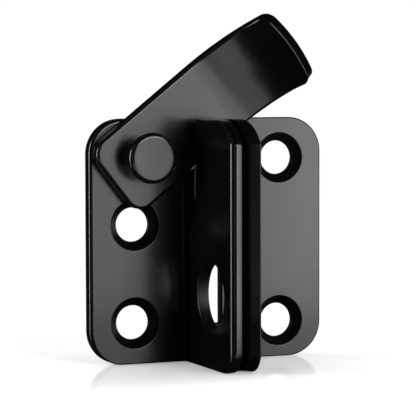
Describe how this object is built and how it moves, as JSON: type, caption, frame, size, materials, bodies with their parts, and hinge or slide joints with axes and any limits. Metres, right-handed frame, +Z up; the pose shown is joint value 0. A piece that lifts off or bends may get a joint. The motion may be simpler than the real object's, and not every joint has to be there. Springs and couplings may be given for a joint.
{
  "type": "gate latch",
  "caption": "Flip gate latch: two bent steel plates with upright slotted flanges, a riveted swing arm with a curled finger tab, and a padlock hole.",
  "frame": {"origin": "midway between the latch plate's two screw holes, on its back face", "axes": "+X from the latch plate to the keeper plate, +Y into the post, +Z up"},
  "size_m": [0.0514, 0.0265, 0.0712],
  "materials": {
    "plate_coat": "satin black coating with a fine even grain",
    "arm_coat": "satin black coating, slightly smoother where fingers rub",
    "rivet_coat": "satin black coating on a turned head",
    "washer_nylon": "black nylon"
  },
  "bodies": {
    "latch": {"latch_plate": "plate_coat", "pivot_rivet": "rivet_coat", "spacer_washer": "washer_nylon"},
    "arm": {"arm": "arm_coat"},
    "keeper": {"keeper_plate": "plate_coat"}
  },
  "joints": [
    {"name": "arm_hinge", "type": "hinge", "parent": "latch", "child": "arm", "pos_m": [0.0012, -0.0043, 0.0238], "axis": [0, -1, 0], "range_deg": [-38.3, 141.7]},
    {"name": "gate_slide", "type": "slide", "parent": "latch", "child": "keeper", "axis": [1, 0, 0], "range_m": [0, 0.01]}
  ]
}
